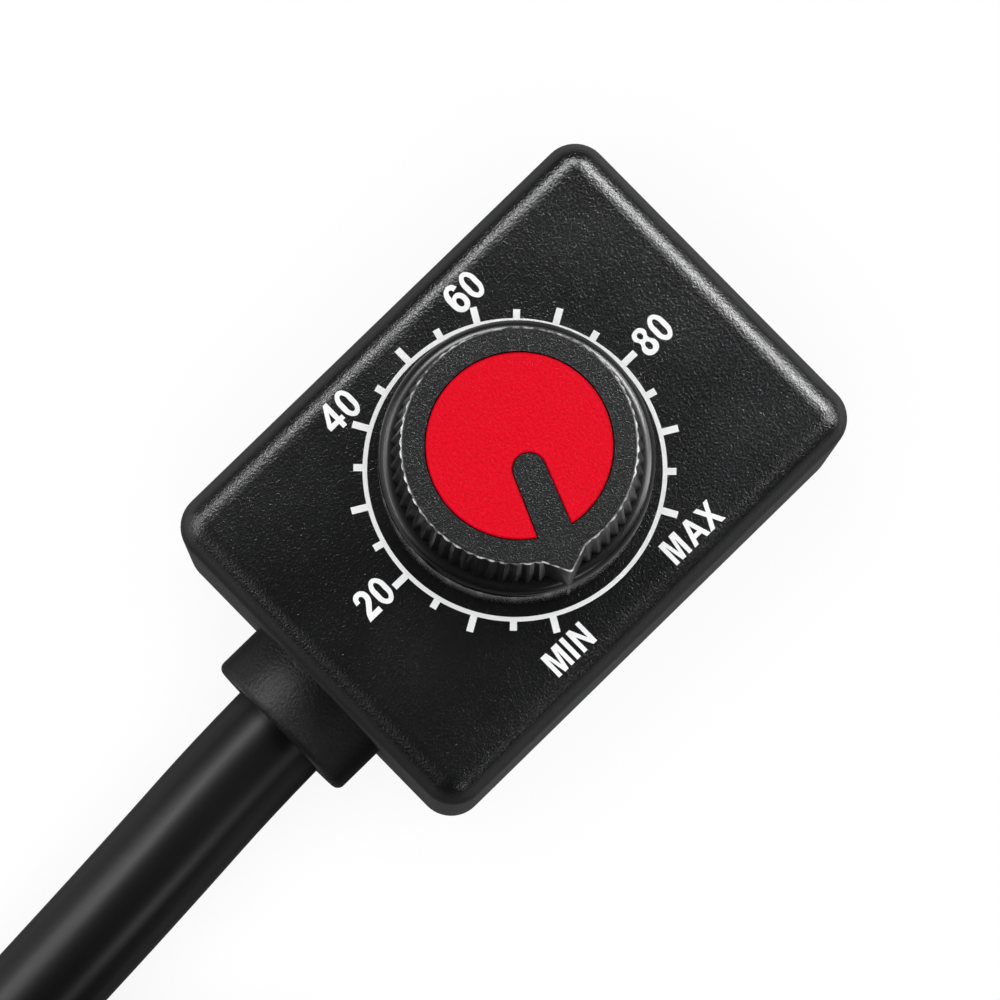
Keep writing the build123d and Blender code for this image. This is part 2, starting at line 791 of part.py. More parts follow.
def flute_section(radius, depth):
    Polygon(
        (radius - depth, 0),
        (radius + depth, -flute_width),
        (radius + depth, flute_width),
        align=None,
    )


def nose_section(reach):
    base = reach - nose_length
    with BuildSketch(mode=Mode.PRIVATE) as outline:
        Polygon((base, -nose_half_width), (reach, 0), (base, nose_half_width), align=None)
        fillet(outline.vertices().sort_by(Axis.X)[-1], nose_tip_round)
    add(outline.sketch)


with BuildPart() as flute:
    with BuildSketch(knob_plane.offset(skirt_height)):
        flute_section(grip_foot_radius, flute_foot_depth)
    with BuildSketch(knob_plane.offset(knob_height)):
        flute_section(grip_radius, flute_depth)
    loft(ruled=True)
with BuildPart() as nose:
    with BuildSketch(knob_plane.offset(nose_foot)):
        nose_section(nose_foot_reach)
    with BuildSketch(knob_plane.offset(knob_height - grip_edge_drop)):
        nose_section(nose_reach)
    with BuildSketch(knob_plane.offset(knob_height)):
        nose_section(nose_reach - grip_edge)
    loft(ruled=True)
with BuildPart() as knob_body:
    with BuildSketch(knob_side):
        with BuildLine():
            Polyline(
                (0, 0),
                (skirt_radius - skirt_foot_round, 0),
                (skirt_radius, skirt_foot_round),
                (skirt_radius, skirt_height - skirt_round),
            )
            RadiusArc(
                (skirt_radius, skirt_height - skirt_round),
                (grip_foot_radius, skirt_height),
                -skirt_round,
            )
            Polyline(
                (grip_foot_radius, skirt_height),
                (grip_radius, knob_height - grip_edge_drop),
                (grip_radius - grip_edge, knob_height),
                (0, knob_height),
                (0, 0),
            )
        make_face()
    revolve(axis=Axis.Z)
    with PolarLocations(0, flute_count, start_angle=180.0 / flute_count):
        add(flute.part, mode=Mode.SUBTRACT)
    add(nose.part)
    with BuildSketch(knob_plane.offset(knob_height)):
        Circle(recess_radius)
        pointer_bar(0, Mode.SUBTRACT)
    extrude(amount=-cap_thickness, mode=Mode.SUBTRACT)
    with BuildSketch(knob_side):
        with BuildLine():
            Polyline(
                (0, 0),
                (nut_room_radius, 0),
                (nut_room_radius, room_top),
                (grip_inside, room_top + room_step),
                (grip_inside, ceiling),
                (boss_outer, ceiling),
                (boss_outer, boss_level),
                (0, boss_level),
                close=True,
            )
        make_face()
    revolve(axis=Axis.Z, mode=Mode.SUBTRACT)
    with BuildSketch(knob_plane.offset(ceiling)):
        with PolarLocations((boss_outer + grip_inside) / 2, boss_rib_count, boss_rib_start):
            Rectangle(grip_inside - boss_outer + 2 * knob_fit, boss_rib_thickness)
    extrude(amount=boss_level - ceiling)
    with BuildSketch(knob_plane.offset(boss_level)):
        Circle(shaft_radius + knob_fit)
        with Locations((shaft_radius + shaft_flat + knob_fit, 0)):
            Rectangle(2 * shaft_radius, 3 * shaft_radius, mode=Mode.SUBTRACT)
    extrude(amount=ceiling - boss_level, mode=Mode.SUBTRACT)
    with BuildSketch(knob_plane.offset(knob_height - cap_thickness)):
        with Locations((0, peg_place), (0, -peg_place)):
            Circle(peg_radius + peg_fit)
    extrude(amount=-peg_depth, mode=Mode.SUBTRACT)
knob_body.part.label = "knob_body"
export_step(knob_body.part, "parts/knob_body.step")

# Red cap: slotted disc with two pegs
with BuildPart() as knob_cap:
    with BuildSketch(knob_plane.offset(knob_height - cap_thickness)):
        Circle(cap_radius)
        pointer_bar(bar_gap, Mode.SUBTRACT)
    extrude(amount=cap_thickness)
    chamfer(knob_cap.faces().sort_by(Axis.Z)[-1].edges(), cap_edge)
    with BuildSketch(knob_plane.offset(knob_height - cap_thickness)):
        with Locations((0, peg_place), (0, -peg_place)):
            Circle(peg_radius)
    extrude(amount=-(peg_depth - peg_fit))
knob_cap.part.label = "knob_cap"
export_step(knob_cap.part, "parts/knob_cap.step")
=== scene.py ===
# %% [markdown]
# # A dimmer switch with a pointer knob
#
# The real object is a black moulded box, small enough for a fist, with a fluted pointer knob on its
# top and a round cable out of one short side. Its solids already exist at their real size, so this
# lesson only dresses them: it lays the cable, prints the dial, paints each surface and sets up the
# studio.

# %% Load the solids
from math import cos, pi, radians, sin

import bmesh
import bpy
from mathutils import Matrix, Vector


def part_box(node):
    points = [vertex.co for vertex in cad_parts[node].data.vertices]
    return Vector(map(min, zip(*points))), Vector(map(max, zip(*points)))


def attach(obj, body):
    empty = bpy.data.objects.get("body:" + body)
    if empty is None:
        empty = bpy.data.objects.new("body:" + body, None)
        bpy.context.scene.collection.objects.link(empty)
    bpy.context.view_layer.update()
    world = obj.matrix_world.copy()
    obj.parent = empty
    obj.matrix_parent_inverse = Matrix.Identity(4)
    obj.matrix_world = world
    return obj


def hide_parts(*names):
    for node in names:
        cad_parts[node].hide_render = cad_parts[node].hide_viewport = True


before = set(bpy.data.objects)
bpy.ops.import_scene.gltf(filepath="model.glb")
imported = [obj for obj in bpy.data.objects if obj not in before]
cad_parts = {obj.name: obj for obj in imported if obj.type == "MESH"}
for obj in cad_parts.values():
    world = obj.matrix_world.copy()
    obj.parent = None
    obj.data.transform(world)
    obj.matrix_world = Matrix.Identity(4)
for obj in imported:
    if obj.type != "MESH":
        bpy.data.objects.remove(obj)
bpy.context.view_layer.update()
mm = 0.001

# %% [markdown]
# ## Camera
#
# The photograph looks almost straight down on the dial, with the box turned so that its long side
# runs up to the right. A long lens keeps the box's edges nearly parallel. The camera could be aimed
# with a constraint, but writing its three axes as directions in the box's own frame is plainer: the
# camera's matrix is just those axes and a place.

# %% Place the camera
scene = bpy.context.scene
box_low, box_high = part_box("housing")
dial_level = box_high.z
dial_centre = Vector((0.0, 0.0, dial_level))
view_back = Vector((-0.0783, -0.0569, 0.9953)).normalized()
view_across = Vector((0.7144, -0.6997, 0.0155))
view_up = view_back.cross(view_across).normalized()
view_right = view_up.cross(view_back)
camera_distance = 350.0 * mm
dial_offset_right = 0.91 * mm
dial_offset_up = 1.85 * mm

camera_data = bpy.data.cameras.new("camera")
camera_data.sensor_width = 36.0
camera_data.lens = 207.5
camera_data.clip_start = 0.01
camera = bpy.data.objects.new("camera", camera_data)
scene.collection.objects.link(camera)
axes = Matrix((view_right, view_up, view_back)).transposed().to_4x4()
place = dial_centre + camera_distance * view_back
place -= dial_offset_right * view_right + dial_offset_up * view_up
camera.matrix_world = Matrix.Translation(place) @ axes
scene.camera = camera
scene.view_settings.view_transform = "Standard"
print("camera at", [round(value / mm, 1) for value in place])
print("box height", round((box_high.z - box_low.z) / mm, 1))

# %% [markdown]
# ## The cable
#
# The cable is a round jacket over two insulated cores. It leaves the grommet straight, sinks to the
# table and is put away as two turns on each other, held by a tie. A tube could be modelled face by
# face, but a curve with a round bevel keeps the cable one smooth line: the route's points are the
# control points of a NURBS spline, and the turns are more points of the same spline, worked out by
# a loop. A spline of order 3 runs a little inside its control points, so the turns' points stand
# slightly outside. The tube is then made a mesh, and the spline's own line is kept.

# %% Cable route
cable_diameter = 6.8 * mm
gland_y = -0.75
gland_height = 8.5
jacket_start = -13.1
coil_x = -65.0
coil_y = -37.7
coil_radius = 35.0
coil_level = 4.0
coil_rise = 6.8
coil_steps = 24
lower_turn_start = 90.0
ramp_start = 370.0
ramp_end = 450.0
upper_turn_end = 720.0
spline_order = 3
cord_fineness = 8
cut_end_angle = 40.0

lead_route = [
    (jacket_start, gland_y, gland_height),
    (-22.5, gland_y, gland_height),
    (-34.0, gland_y - 0.82, 7.9),
    (-46.0, gland_y - 1.37, 5.9),
    (-57.0, gland_y - 2.0, 4.4),
]


def coil_point(angle):
    """Control point of the coil at an angle in degrees, counted on through both turns."""
    climb = min(max((angle - ramp_start) / (ramp_end - ramp_start), 0.0), 1.0)
    level = coil_level + coil_rise * climb * climb * (3.0 - 2.0 * climb)
    radius = coil_radius / cos(pi / coil_steps)
    if angle == upper_turn_end:
        radius = coil_radius
    across = radius * cos(radians(angle))
    along = radius * sin(radians(angle))
    return (coil_x + across, coil_y + along, level)


def ride_on_box(name, mesh):
    """New object with this mesh that rides on the box."""
    piece = bpy.data.objects.new(name, mesh)
    scene.collection.objects.link(piece)
    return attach(piece, "base")


def smooth_cord(name, points, diameter):
    """Round tube along a NURBS spline with these control points in millimetres, and its line."""
    route = bpy.data.curves.new(name + "_route", "CURVE")
    route.dimensions = "3D"
    route.resolution_u = cord_fineness
    spline = route.splines.new("NURBS")
    spline.points.add(len(points) - 1)
    for control, point in zip(spline.points, points):
        control.co = (*[value * mm for value in point], 1.0)
    spline.order_u = spline_order
    spline.use_endpoint_u = True
    guide = bpy.data.objects.new(name + "_guide", route)
    line_mesh = bpy.data.meshes.new_from_object(guide)
    line = [vertex.co.copy() for vertex in line_mesh.vertices]
    route.bevel_depth = diameter / 2
    route.bevel_resolution = cord_fineness
    route.use_fill_caps = True
    tube = bpy.data.meshes.new_from_object(guide)
    tube.name = name
    tube.set_sharp_from_angle(angle=radians(cut_end_angle))
    bpy.data.objects.remove(guide)
    return ride_on_box(name, tube), line


turn_count = round((upper_turn_end - lower_turn_start) / 360.0 * coil_steps)
turn_angles = [lower_turn_start + 360.0 * step / coil_steps for step in range(turn_count + 1)]
cable_route = lead_route + [coil_point(angle) for angle in turn_angles]
cable, cable_line = smooth_cord("cable", cable_route, cable_diameter)
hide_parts("cable_lead", "cable_coil")
print("cable control points", len(cable_route), "line points", len(cable_line))

# %% [markdown]
# ## Bare tails
#
# At the far end the jacket is stripped and the two cores come out, purple for plus and grey for
# minus, each with a tinned conductor. They are cords of their own that start at the jacket's end.
# Their routes are written along the cable, inwards and upwards there, as a fitter would think of
# them, and turned into the frame by a small function.

# %% Tail routes
tail_diameter = 2.0 * mm
core_spread = 1.15
jacket_end_level = coil_level + coil_rise
tail_drop = jacket_end_level - tail_diameter / mm / 2
tail_routes = {
    "purple": [
        (0, core_spread, 0),
        (4.0, core_spread, 0),
        (8.8, core_spread + 2.8, -0.9),
        (11.6, core_spread + 9.5, -5.6),
        (11.8, core_spread + 19.0, -tail_drop),
        (9.0, core_spread + 28.0, -tail_drop),
    ],
    "grey": [
        (0, -core_spread, 0),
        (4.5, -core_spread, 0),
        (10.2, -core_spread + 3.2, -0.2),
        (14.6, -core_spread + 11.2, -3.6),
        (16.8, -core_spread + 20.0, -tail_drop),
        (20.8, -core_spread + 28.0, -tail_drop),
    ],
}


def beyond_jacket(point):
    """Place of a tail's point, given along the cable, inwards and upwards from the jacket's end."""
    along, inwards, upwards = point
    return (coil_x + coil_radius - inwards, coil_y + along, jacket_end_level + upwards)


for colour, route in tail_routes.items():
    points = [beyond_jacket(point) for point in route]
    tail, tail_line = smooth_cord("tail_" + colour + "_wire", points, tail_diameter)
    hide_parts("tail_" + colour)
    print("tail", colour, "ends at", [round(value, 1) for value in points[-1]])

# %% [markdown]
# ## The printed dial
#
# The dial is white ink printed on the box: a ring, 21 ticks over 300 degrees, four numbers and the
# words MIN and MAX. Ink could be painted in the housing's material, but a thin mesh stays sharp at
# any distance. The ring is a small section spun round the knob's axis, and the ticks are flattened
# cubes placed by a loop. A spin leaves its faces in another order each time, so they are sorted
# along a slanted line, to make every run the same.

# %% Ring and ticks
ink_depth = 0.02 * mm
ink_sink = 0.01 * mm
tick_depth = 0.016 * mm
ring_radius = 9.12 * mm
ring_width = 0.28 * mm
ring_steps = 180
tick_width = 0.43 * mm
long_tick = 1.13 * mm
short_tick = 0.69 * mm
tick_count = 21
dial_start = -120.0
dial_travel = 300.0
sort_line = Vector((1.0, 0.618, 0.233))


def spin_round(mesh_maker, steps):
    """Spin a bmesh's outline once round the knob's axis, and sort its points and faces."""
    bmesh.ops.spin(
        mesh_maker,
        geom=mesh_maker.verts[:] + mesh_maker.edges[:],
        cent=(0.0, 0.0, 0.0),
        axis=(0.0, 0.0, 1.0),
        angle=2 * pi,
        steps=steps,
        use_merge=True,
    )
    mesh_maker.verts.sort(key=lambda vert: vert.co.dot(sort_line))
    mesh_maker.faces.sort(key=lambda face: face.calc_center_median().dot(sort_line))


def new_piece(name, mesh_maker):
    """Finish a bmesh as a piece that rides on the box."""
    mesh = bpy.data.meshes.new(name)
    bmesh.ops.recalc_face_normals(mesh_maker, faces=mesh_maker.faces)
    mesh_maker.to_mesh(mesh)
    mesh_maker.free()
    return ride_on_box(name, mesh)


ring = bmesh.new()
section = [
    ring.verts.new((ring_radius + side * ring_width / 2, 0.0, dial_level + rise))
    for side, rise in ((-1, -ink_sink), (1, -ink_sink), (1, ink_depth), (-1, ink_depth))
]
for start, end in zip(section, section[1:] + section[:1]):
    ring.edges.new((start, end))
spin_round(ring, ring_steps)
dial_ring = new_piece("dial_ring", ring)

ticks = bmesh.new()
for number in range(tick_count):
    reach = short_tick if number % 2 else long_tick
    angle = radians(dial_start - dial_travel * number / (tick_count - 1))
    middle = Vector((ring_radius + reach / 2, 0.0, dial_level))
    size = Matrix.Diagonal((reach, tick_width, 2 * tick_depth, 1.0))
    spot = Matrix.Rotation(angle, 4, "Z") @ Matrix.Translation(middle) @ size
    bmesh.ops.create_cube(ticks, size=1.0, matrix=spot)
dial_ticks = new_piece("dial_ticks", ticks)
print("dial ring faces", len(dial_ring.data.polygons))
print("dial tick faces", len(dial_ticks.data.polygons))

# %% [markdown]
# ## Numbers and words
#
# The lettering is a narrow bold sans. Blender's own font is wide and light, and making it bolder
# breaks its small openings, so each character is drawn as a flat curve in units of its height: a
# straight corner is a point with vector handles, and a round stretch is a few points with automatic
# handles. The curve fills itself, leaves the inner outlines open, and becomes a mesh.

# %% Character outlines
round_zero = [(0.283, 1.01), (0.49, 0.87), (0.566, 0.5), (0.49, 0.13), (0.283, -0.01)]
round_zero += [(0.076, 0.13), (0.0, 0.5), (0.076, 0.87)]
zero_eye = [(0.286, 0.85), (0.362, 0.78), (0.387, 0.5), (0.362, 0.22), (0.286, 0.165)]
zero_eye += [(0.210, 0.22), (0.185, 0.5), (0.210, 0.78)]
eight_right = [(0.295, 1.01), (0.475, 0.95), (0.56, 0.77), (0.475, 0.56), (0.59, 0.29)]
eight_right += [(0.51, 0.07), (0.295, -0.01)]
eight_width = 0.59
eight_left = [(eight_width - across, up) for across, up in reversed(eight_right[1:-1])]
two_corners = [(0.0, 0.0), (0.57, 0.0), (0.57, 0.2), (0.27, 0.2)]
two_back = [(0.38, 0.33), (0.53, 0.51), (0.588, 0.72), (0.52, 0.93), (0.315, 1.025), (0.13, 0.96)]
two_lip = [(0.04, 0.70), (0.207, 0.695)]
two_inside = [(0.23, 0.80), (0.305, 0.848), (0.385, 0.79), (0.39, 0.67), (0.29, 0.51), (0.10, 0.27)]
six_back = [(0.50, 0.965), (0.32, 1.02), (0.11, 0.92), (0.0, 0.48), (0.10, 0.09), (0.30, -0.01)]
six_bowl = [(0.51, 0.07), (0.607, 0.33), (0.51, 0.60), (0.36, 0.668)]
six_inside = [(0.22, 0.77), (0.305, 0.866), (0.375, 0.83)]
eye_steps = 8


def corners(*points):
    """Outline points that are sharp corners."""
    return [(point, "VECTOR") for point in points]


def rounds(*points):
    """Outline points on a round stretch."""
    return [(point, "AUTO") for point in points]


def eye(across, up, half_width, half_height):
    """Oval opening of a character."""
    turns = [radians(360.0 * step / eye_steps) for step in range(eye_steps)]
    return rounds(*[(across + half_width * cos(t), up + half_height * sin(t)) for t in turns])


outlines = {
    "0": [rounds(*round_zero), rounds(*zero_eye)],
    "2": [
        corners(*two_corners) + rounds(*two_back) + corners(*two_lip) + rounds(*two_inside),
    ],
    "4": [
        corners((0.545, 0.0), (0.545, 0.197), (0.653, 0.197), (0.653, 0.37), (0.545, 0.37))
        + corners((0.545, 1.0), (0.385, 1.0), (0.0, 0.36), (0.0, 0.197), (0.372, 0.197))
        + corners((0.372, 0.0)),
        corners((0.187, 0.37), (0.372, 0.37), (0.372, 0.70)),
    ],
    "6": [
        corners((0.594, 0.80)) + rounds(*six_back) + rounds(*six_bowl)
        + corners((0.20, 0.62)) + rounds(*six_inside) + corners((0.40, 0.754)),
        eye(0.318, 0.34, 0.105, 0.166),
    ],
    "8": [
        rounds(*eight_right) + rounds(*eight_left),
        eye(0.295, 0.748, 0.095, 0.118),
        eye(0.295, 0.322, 0.104, 0.156),
    ],
    "M": [
        corners((0.0, 0.0), (0.0, 1.0), (0.28, 1.0), (0.41, 0.30), (0.539, 1.0), (0.819, 1.0))
        + corners((0.819, 0.0), (0.645, 0.0), (0.645, 0.787), (0.498, 0.0), (0.321, 0.0))
        + corners((0.174, 0.787), (0.174, 0.0)),
    ],
    "I": [corners((0.0, 0.0), (0.0, 1.0), (0.186, 1.0), (0.186, 0.0))],
    "N": [
        corners((0.0, 0.0), (0.0, 1.0), (0.19, 1.0), (0.50, 0.33), (0.50, 1.0), (0.674, 1.0))
        + corners((0.674, 0.0), (0.486, 0.0), (0.174, 0.65), (0.174, 0.0)),
    ],
    "A": [
        corners((0.0, 0.0), (0.315, 1.0), (0.505, 1.0), (0.819, 0.0), (0.624, 0.0))
        + corners((0.558, 0.22), (0.258, 0.22), (0.192, 0.0)),
        corners((0.312, 0.40), (0.41, 0.74), (0.506, 0.40)),
    ],
    "X": [
        corners((0.0, 0.0), (0.27, 0.515), (0.022, 1.0), (0.225, 1.0), (0.385, 0.67))
        + corners((0.545, 1.0), (0.745, 1.0), (0.497, 0.515), (0.767, 0.0), (0.555, 0.0))
        + corners((0.383, 0.345), (0.21, 0.0)),
    ],
}
gap_after = {"M": 0.135, "I": 0.17, "A": 0.02}
usual_gap = 0.10
print("characters", len(outlines))

# %% [markdown]
# ## Labels
#
# The real labels are stamped on by a soft pad at six places round the ring. Each could be drawn in
# place, but it is easier to set its characters side by side in one curve of height one, and then to
# scale, centre and move the whole label by one matrix.

# %% Print the labels
digit_height = 1.84 * mm
letter_height = 1.63 * mm
outline_fineness = 8
half_thickness = 0.5
labels = {
    "20": (-11.62, 0.39),
    "40": (-5.16, 10.01),
    "60": (5.37, 9.93),
    "80": (11.77, 0.05),
    "MIN": (-5.33, -10.09),
    "MAX": (5.01, -10.23),
}


def add_character(stencil, character, start):
    """Draw a character's outlines in a flat curve and return its width."""
    for outline in outlines[character]:
        spline = stencil.splines.new("BEZIER")
        spline.bezier_points.add(len(outline) - 1)
        spline.use_cyclic_u = True
        for knot, (place, kind) in zip(spline.bezier_points, outline):
            knot.co = (start + place[0], place[1], 0.0)
            knot.handle_left_type = kind
            knot.handle_right_type = kind
    return max(place[0] for place, kind in outlines[character][0])


def print_label(words, centre):
    """Lettering as a thin mesh on the box's top, read along the box's length."""
    stencil = bpy.data.curves.new("stencil", "CURVE")
    stencil.dimensions = "2D"
    stencil.fill_mode = "BOTH"
    stencil.extrude = half_thickness
    stencil.resolution_u = outline_fineness
    width = 0.0
    for character in words:
        width += add_character(stencil, character, width)
        width += gap_after.get(character, usual_gap)
    width -= gap_after.get(words[-1], usual_gap)
    holder = bpy.data.objects.new("stencil", stencil)
    mesh = bpy.data.meshes.new_from_object(holder)
    bpy.data.objects.remove(holder)
    height = digit_height if words.isdigit() else letter_height
    spot = Vector((centre[0] * mm, centre[1] * mm, dial_level + (ink_depth - ink_sink) / 2))
    size = Matrix.Diagonal((height, height, ink_depth + ink_sink, 1.0))
    middle = Vector((width, 1.0, 0.0)) / 2
    mesh.transform(Matrix.Translation(spot) @ size @ Matrix.Translation(-middle))
    mesh.name = "dial_" + words
    return ride_on_box(mesh.name, mesh)


dial_labels = [print_label(words, centre) for words, centre in labels.items()]
print("labels", [(label.name, len(label.data.polygons)) for label in dial_labels])

# %% [markdown]
# ## Paint
#
# Every material here is one Principled shader with a little procedural detail on Object
# coordinates, which are metres in the box's own frame. Image textures would show the same grain,
# but noise needs no file and no unwrapping. Colours are written as they look on a screen and
# converted once.

# %% Paint helpers
mix_factor, mix_first, mix_second, mix_result = 0, 6, 7, 2  # sockets of a Mix node for colours


def screen_colour(red, green, blue):
    """Linear colour for a colour written as it looks on a screen, 0 to 255."""
    linear = []
    for value in (red, green, blue):
        share = value / 255.0
        linear.append(share / 12.92 if share <= 0.04045 else ((share + 0.055) / 1.055) ** 2.4)
    return (*linear, 1.0)


def new_paint(name, colour, roughness, **sockets):
    """Material with one Principled shader, and the shader."""
    paint = bpy.data.materials.new(name)
    paint.use_nodes = True
    shader = paint.node_tree.nodes["Principled BSDF"]
    shader.inputs["Base Color"].default_value = colour
    shader.inputs["Roughness"].default_value = roughness
    for socket, value in sockets.items():
        shader.inputs[socket.replace("_", " ")].default_value = value
    return paint, shader


def noise(paint, feature, detail=2.0, distortion=0.0, stretch=(1.0, 1.0, 1.0)):
    """Noise on Object coordinates with features of about this size in metres."""
    nodes = paint.node_tree.nodes
    links = paint.node_tree.links
    where = nodes.new("ShaderNodeTexCoord")
    mapping = nodes.new("ShaderNodeMapping")
    mapping.inputs["Scale"].default_value = stretch
    texture = nodes.new("ShaderNodeTexNoise")
    texture.inputs["Scale"].default_value = 1.0 / feature
    texture.inputs["Detail"].default_value = detail
    texture.inputs["Distortion"].default_value = distortion
    links.new(where.outputs["Object"], mapping.inputs["Vector"])
    links.new(mapping.outputs["Vector"], texture.inputs["Vector"])
    return texture.outputs["Fac"]


def spread(paint, value, low, high, start=0.3, end=0.7):
    """Map a texture value from its middle range onto low to high."""
    mapped = paint.node_tree.nodes.new("ShaderNodeMapRange")
    mapped.inputs["From Min"].default_value = start
    mapped.inputs["From Max"].default_value = end
    mapped.inputs["To Min"].default_value = low
    mapped.inputs["To Max"].default_value = high
    paint.node_tree.links.new(value, mapped.inputs["Value"])
    return mapped.outputs["Result"]


def emboss(paint, shader, height, depth, strength=1.0):
    """Bump of a real depth in metres on the shader's normal."""
    bump = paint.node_tree.nodes.new("ShaderNodeBump")
    bump.inputs["Strength"].default_value = strength
    bump.inputs["Distance"].default_value = depth
    paint.node_tree.links.new(height, bump.inputs["Height"])
    paint.node_tree.links.new(bump.outputs["Normal"], shader.inputs["Normal"])


def tint(paint, shader, value, dark, light):
    """Vary the base colour between two colours by a texture value."""
    mix = paint.node_tree.nodes.new("ShaderNodeMix")
    mix.data_type = "RGBA"
    mix.inputs[mix_first].default_value = dark
    mix.inputs[mix_second].default_value = light
    paint.node_tree.links.new(value, mix.inputs[mix_factor])
    paint.node_tree.links.new(mix.outputs[mix_result], shader.inputs["Base Color"])


def apply_paint(paint, *names):
    """Give a paint to solids and pieces by name."""
    for name in names:
        piece = bpy.data.objects[name]
        piece.data.materials.clear()
        piece.data.materials.append(paint)


print("middle grey is", [round(value, 3) for value in screen_colour(128, 128, 128)])

# %% [markdown]
# ## Black mouldings
#
# The box, the grommet and the base cover are black ABS with a spark-eroded grain: short wrinkles a
# few tenths of a millimetre long that break highlights into a sparkle. Distorted noise gives such
# wrinkles, and a second, coarser noise varies the gloss a little, as a worn mould does. The box's
# walls and the grommet's flanks are duller than their crowns. They could have materials of their
# own, but a material that gets rougher below a level needs no seam.

# %% Grained black plastic
wall_top = dial_level - 0.75 * mm
wall_blend = 0.35 * mm
gland_crown = 11.5 * mm
gland_blend = 0.8 * mm
patch_size = 6.0 * mm
patch_change = 0.03


def height_mask(paint, level, softness):
    """Zero below a level above the table and one above it."""
    where = paint.node_tree.nodes.new("ShaderNodeTexCoord")
    split = paint.node_tree.nodes.new("ShaderNodeSeparateXYZ")
    paint.node_tree.links.new(where.outputs["Object"], split.inputs["Vector"])
    return spread(paint, split.outputs["Z"], 0.0, 1.0, level - softness, level + softness)


def combine(paint, operation, first, second):
    """Sum, difference or product of two node outputs."""
    result = paint.node_tree.nodes.new("ShaderNodeMath")
    result.operation = operation
    paint.node_tree.links.new(first, result.inputs[0])
    paint.node_tree.links.new(second, result.inputs[1])
    return result.outputs["Value"]


def grained_plastic(name, colour, roughness, grain, depth, specular):
    """Moulded plastic with a spark-eroded grain, and its shader."""
    paint, shader = new_paint(name, colour, roughness, Specular_IOR_Level=specular)
    wrinkles = noise(paint, grain, detail=2.0, distortion=0.4)
    emboss(paint, shader, wrinkles, depth)
    low, high = roughness - patch_change, roughness + patch_change
    patches = spread(paint, noise(paint, patch_size), low, high)
    paint.node_tree.links.new(patches, shader.inputs["Roughness"])
    return paint, shader


def matt_below(paint, shader, level, softness, change):
    """Make a paint rougher below a level above the table."""
    roughness = shader.inputs["Roughness"].links[0].from_socket
    duller = spread(paint, height_mask(paint, level, softness), change, 0.0, 0.0, 1.0)
    rough = combine(paint, "ADD", roughness, duller)
    paint.node_tree.links.new(rough, shader.inputs["Roughness"])


shell_paint, shell_shader = grained_plastic(
    "housing_plastic",
    screen_colour(16, 16, 17),
    roughness=0.25,
    grain=0.14 * mm,
    depth=0.031 * mm,
    specular=0.17,
)
matt_below(shell_paint, shell_shader, wall_top, wall_blend, change=0.7)
apply_paint(shell_paint, "housing")
gland_paint, gland_shader = grained_plastic(
    "gland_rubber",
    screen_colour(11, 11, 11),
    roughness=0.5,
    grain=0.2 * mm,
    depth=0.05 * mm,
    specular=0.13,
)
matt_below(gland_paint, gland_shader, gland_crown, gland_blend, change=0.5)
apply_paint(gland_paint, "cable_gland")
cover_paint = grained_plastic(
    "cover_plastic",
    screen_colour(20, 20, 21),
    roughness=0.5,
    grain=0.13 * mm,
    depth=0.02 * mm,
    specular=0.4,
)[0]
apply_paint(cover_paint, "base_cover")
print("black mouldings painted")

# %% [markdown]
# ## Knob
#
# The knob is the same black plastic in four finishes: the skirt comes glossy out of the mould, the
# flutes are satin, the top rim has a fine grain, and the edge between them is smooth, worn by
# fingers, with a pale painted highlight along it. Each could be a material slot of its own, but one
# material can hold them all, because the height above the table tells them apart.

# %% Knob paint
knob_low, knob_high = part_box("knob_body")
knob_black = screen_colour(13, 13, 14)
# near-white colour painted on the rim's edge: a painted highlight that also stands for wear
pale_highlight_and_wear = screen_colour(215, 215, 217)
skirt_height, skirt_blend = 6.7 * mm, 0.2 * mm
edge_depth, edge_blend = 0.12 * mm, 0.01 * mm
rim_depth, rim_blend = 0.035 * mm, 0.02 * mm
skirt_roughness, flute_roughness = 0.18, 0.32
edge_change, rim_change = -0.22, 0.22
grain_size, grain_depth = 0.12 * mm, 0.009 * mm
highlight_and_wear_break_size = 0.5 * mm

knob_paint, knob_shader = new_paint(
    "knob_plastic", knob_black, roughness=0.3, Specular_IOR_Level=0.17
)
grip_mask = height_mask(knob_paint, knob_low.z + skirt_height, skirt_blend)
edge_mask = height_mask(knob_paint, knob_high.z - edge_depth, edge_blend)
rim_mask = height_mask(knob_paint, knob_high.z - rim_depth, rim_blend)

rim_noise = noise(knob_paint, grain_size, distortion=0.5)
rim_grain = spread(knob_paint, rim_noise, 0.0, 1.0, start=0.48, end=0.72)
rim_relief = combine(knob_paint, "MULTIPLY", rim_mask, rim_grain)
emboss(knob_paint, knob_shader, rim_relief, grain_depth)

knob_roughness = spread(knob_paint, grip_mask, skirt_roughness, flute_roughness, 0.0, 1.0)
for mask, change in ((edge_mask, edge_change), (rim_mask, rim_change)):
    step = spread(knob_paint, mask, 0.0, change, 0.0, 1.0)
    knob_roughness = combine(knob_paint, "ADD", knob_roughness, step)
knob_paint.node_tree.links.new(knob_roughness, knob_shader.inputs["Roughness"])

# pale band painted along the rim's edge, a painted highlight broken into dashes by noise, partly
# wear by fingers
edge_highlight_and_wear_band = combine(knob_paint, "SUBTRACT", edge_mask, rim_mask)
highlight_and_wear_breaks = spread(knob_paint, noise(knob_paint, highlight_and_wear_break_size), 0.15, 1.0, start=0.4, end=0.6)
edge_highlight_and_wear = combine(knob_paint, "MULTIPLY", edge_highlight_and_wear_band, highlight_and_wear_breaks)
tint(knob_paint, knob_shader, edge_highlight_and_wear, knob_black, pale_highlight_and_wear)
apply_paint(knob_paint, "knob_body")
print("knob painted, rim at", round((knob_high.z - rim_depth) / mm, 3))

# %% [markdown]
# ## Cap
#
# The red cap is a slotted disc with a grain like the rim's. A plain red would look like a sticker,
# so one noise does two jobs: it raises the grain, and paints its hollows a little darker, as
# painted shade.

